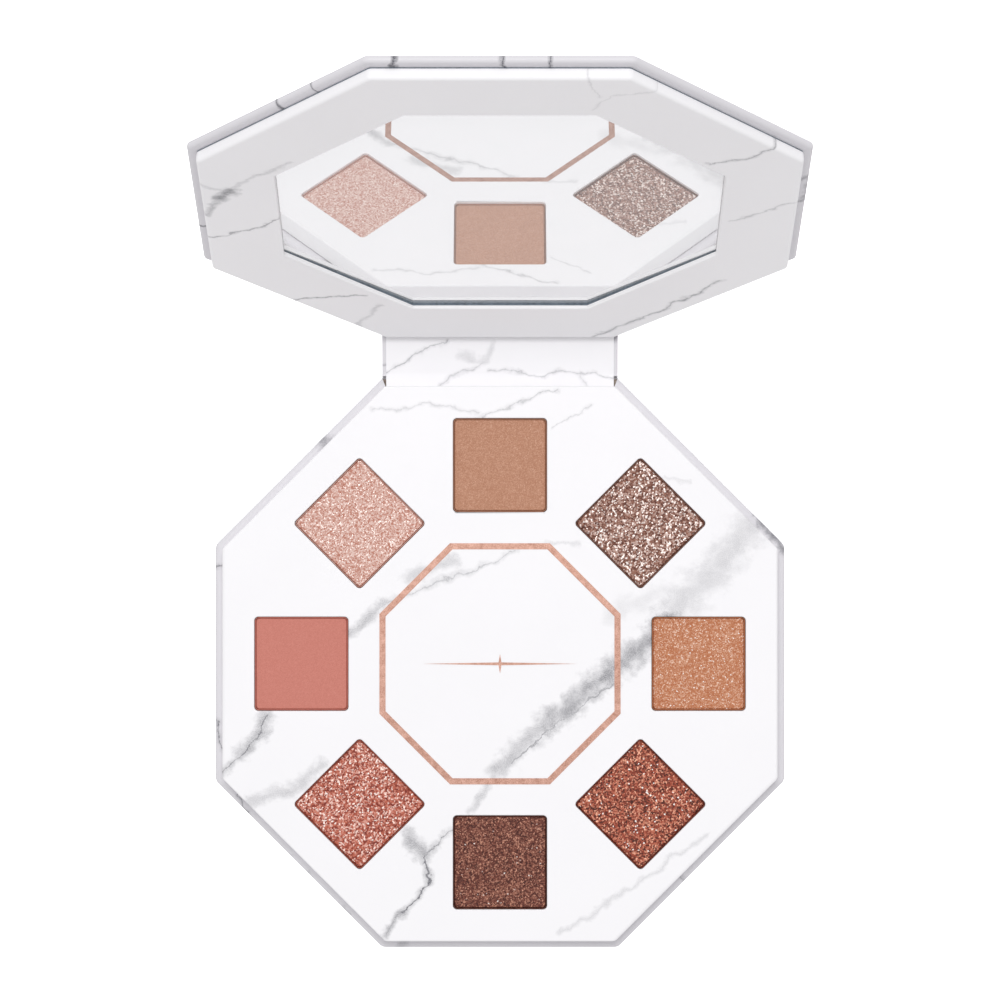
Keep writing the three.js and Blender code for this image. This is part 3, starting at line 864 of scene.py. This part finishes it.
lid_frame_veins = [
    (0.1, 0.7, 2.2, [(-49, 11), (-51, 8)]),
    (0.45, 0.4, 1.1, [(-51, 8), (-54, 1)]),
    (0.2, 0.25, 0.8, [(-50, 11), (-44, 17), (-38, 22)]),
    (0.1, 0.2, 0.7, [(-50, 11), (-55, 13)]),
    (0.7, 0.25, 0.6, [(-54, -9), (-45, -4), (-40, 0)]),
    (0.75, 0.3, 0.6, [(-40, -37), (-33, -35), (-26, -34)]),
    (0.25, 0.25, 0.8, [(-29, -51), (-23, -39)]),
    (0.2, 0.1, 0.6, [(16, 43), (19, 48), (28, 50)]),
    (0.2, 0.1, 0.5, [(15, 56), (17, 48)]),
    (0.7, 0.35, 0.8, [(38, 22), (44, 24), (51, 30)]),
    (0.4, 0.15, 0.6, [(42, -2), (54, 6)]),
    (0.7, 0.35, 0.8, [(16, -56), (22, -50), (30, -43), (42, -28)]),
]
lid_frame_print = marble_paper("lid_frame_print", lid_frame_veins, to_sheet=to_lid_sheet)
finish_piece(lid_frame, lid_frame_print, "marble_paper", "lid", "lid_frame_wrap")
# Dark blue-grey, darker than the other boards: partly cut board, partly painted shade of the gap round the
# mirror.
cut_board_painted_shade = plain_material("cut_board_painted_shade", srgb(92, 102, 112), srgb(128, 140, 152), 2.6, 0.8, relief=0.5)
coat_nodes(cut_board_painted_shade, "lid_frame_board")

# Mirror. An octagon of thin silvered glass with a polished edge, stuck to the lid with a tape pad,
# its face a little below the frame.

MIRROR_EDGE = 0.06 * MM

mirror = octagon_block("mirror_glass", mirror_across, mirror_bottom, mirror_top)
pick(mirror, "edges", corner_edge)
bpy.ops.mesh.bevel(offset=MIRROR_EDGE, segments=2, affect="EDGES")
smooth(mirror, 25)
mirror.data.transform(lid_place)
silvered, tree, principled = surface("silvered_glass")
film = noise(tree, sheet_place(tree), 0.15, 4.0)
give(tree, {"Base Color": mixed(tree, film, srgb(252, 253, 253), srgb(255, 255, 255)),
            "Metallic": 0.74, "Roughness": remap(tree, film, 0.3, 0.7, 0.004, 0.012)}, principled)
finish_piece(mirror, silvered, "mirror", "lid", "mirror")

# Table, light and camera. A plain white table, one large soft light overhead, well behind the palette
# and a touch to its left, and a long lens that looks straight down.

TABLE_SIZE = 4.0
CAMERA_HEIGHT = 0.8055
CAMERA_Y = 0.0322
LENS = 146.35
SENSOR = 36
TABLE_DROP = 0.02 * MM
SKY_COLOUR = (0.99, 0.985, 0.995, 1.0)
SKY_STRENGTH = 0.65
LAMP_SIZE = 0.7
LAMP_POWER = 11.0
LAMP_PLACE = (-0.06, 0.5, 1.6)

bpy.ops.object.select_all(action="DESELECT")
bpy.ops.mesh.primitive_plane_add(size=TABLE_SIZE, location=(0, 0, -TABLE_DROP))
table = bpy.context.object
table.name = "table"
white, tree, principled = surface("table_white")
tone = remap(tree, noise(tree, sheet_place(tree), 0.004, 2.0), 0.3, 0.7, 0.97, 1.0)
path = node(tree, "ShaderNodeLightPath").outputs
seen = maths(tree, "MAXIMUM", path["Is Camera Ray"], path["Is Singular Ray"])
give(tree, {"Base Color": mixed(tree, tone, srgb(236, 236, 238), srgb(250, 250, 250)), "Roughness": 0.9,
            "Emission Color": (1, 1, 1, 1), "Emission Strength": seen}, principled)
table.data.materials.append(white)

sky = bpy.data.worlds.new("studio")
sky.use_nodes = True
sky.node_tree.nodes["Background"].inputs["Color"].default_value = SKY_COLOUR
sky.node_tree.nodes["Background"].inputs["Strength"].default_value = SKY_STRENGTH
bpy.context.scene.world = sky


def soft_light(name, size, power, place, aim=(0, 0.03, 0.02)):
    lamp = bpy.data.lights.new(name, "AREA")
    lamp.shape = "DISK"
    lamp.size = size
    lamp.energy = power
    holder = bpy.data.objects.new(name, lamp)
    holder.location = place
    holder.rotation_euler = (Vector(aim) - Vector(place)).to_track_quat("-Z", "Y").to_euler()
    bpy.context.scene.collection.objects.link(holder)


soft_light("overhead", LAMP_SIZE, LAMP_POWER, LAMP_PLACE)

lens = bpy.data.cameras.new("camera")
lens.sensor_width = SENSOR
lens.lens = LENS
lens.clip_start = 0.01
lens.clip_end = 20
camera = bpy.data.objects.new("camera", lens)
camera.location = (0, CAMERA_Y, CAMERA_HEIGHT)
bpy.context.scene.collection.objects.link(camera)
bpy.context.scene.camera = camera
bpy.context.scene.view_settings.view_transform = "Standard"
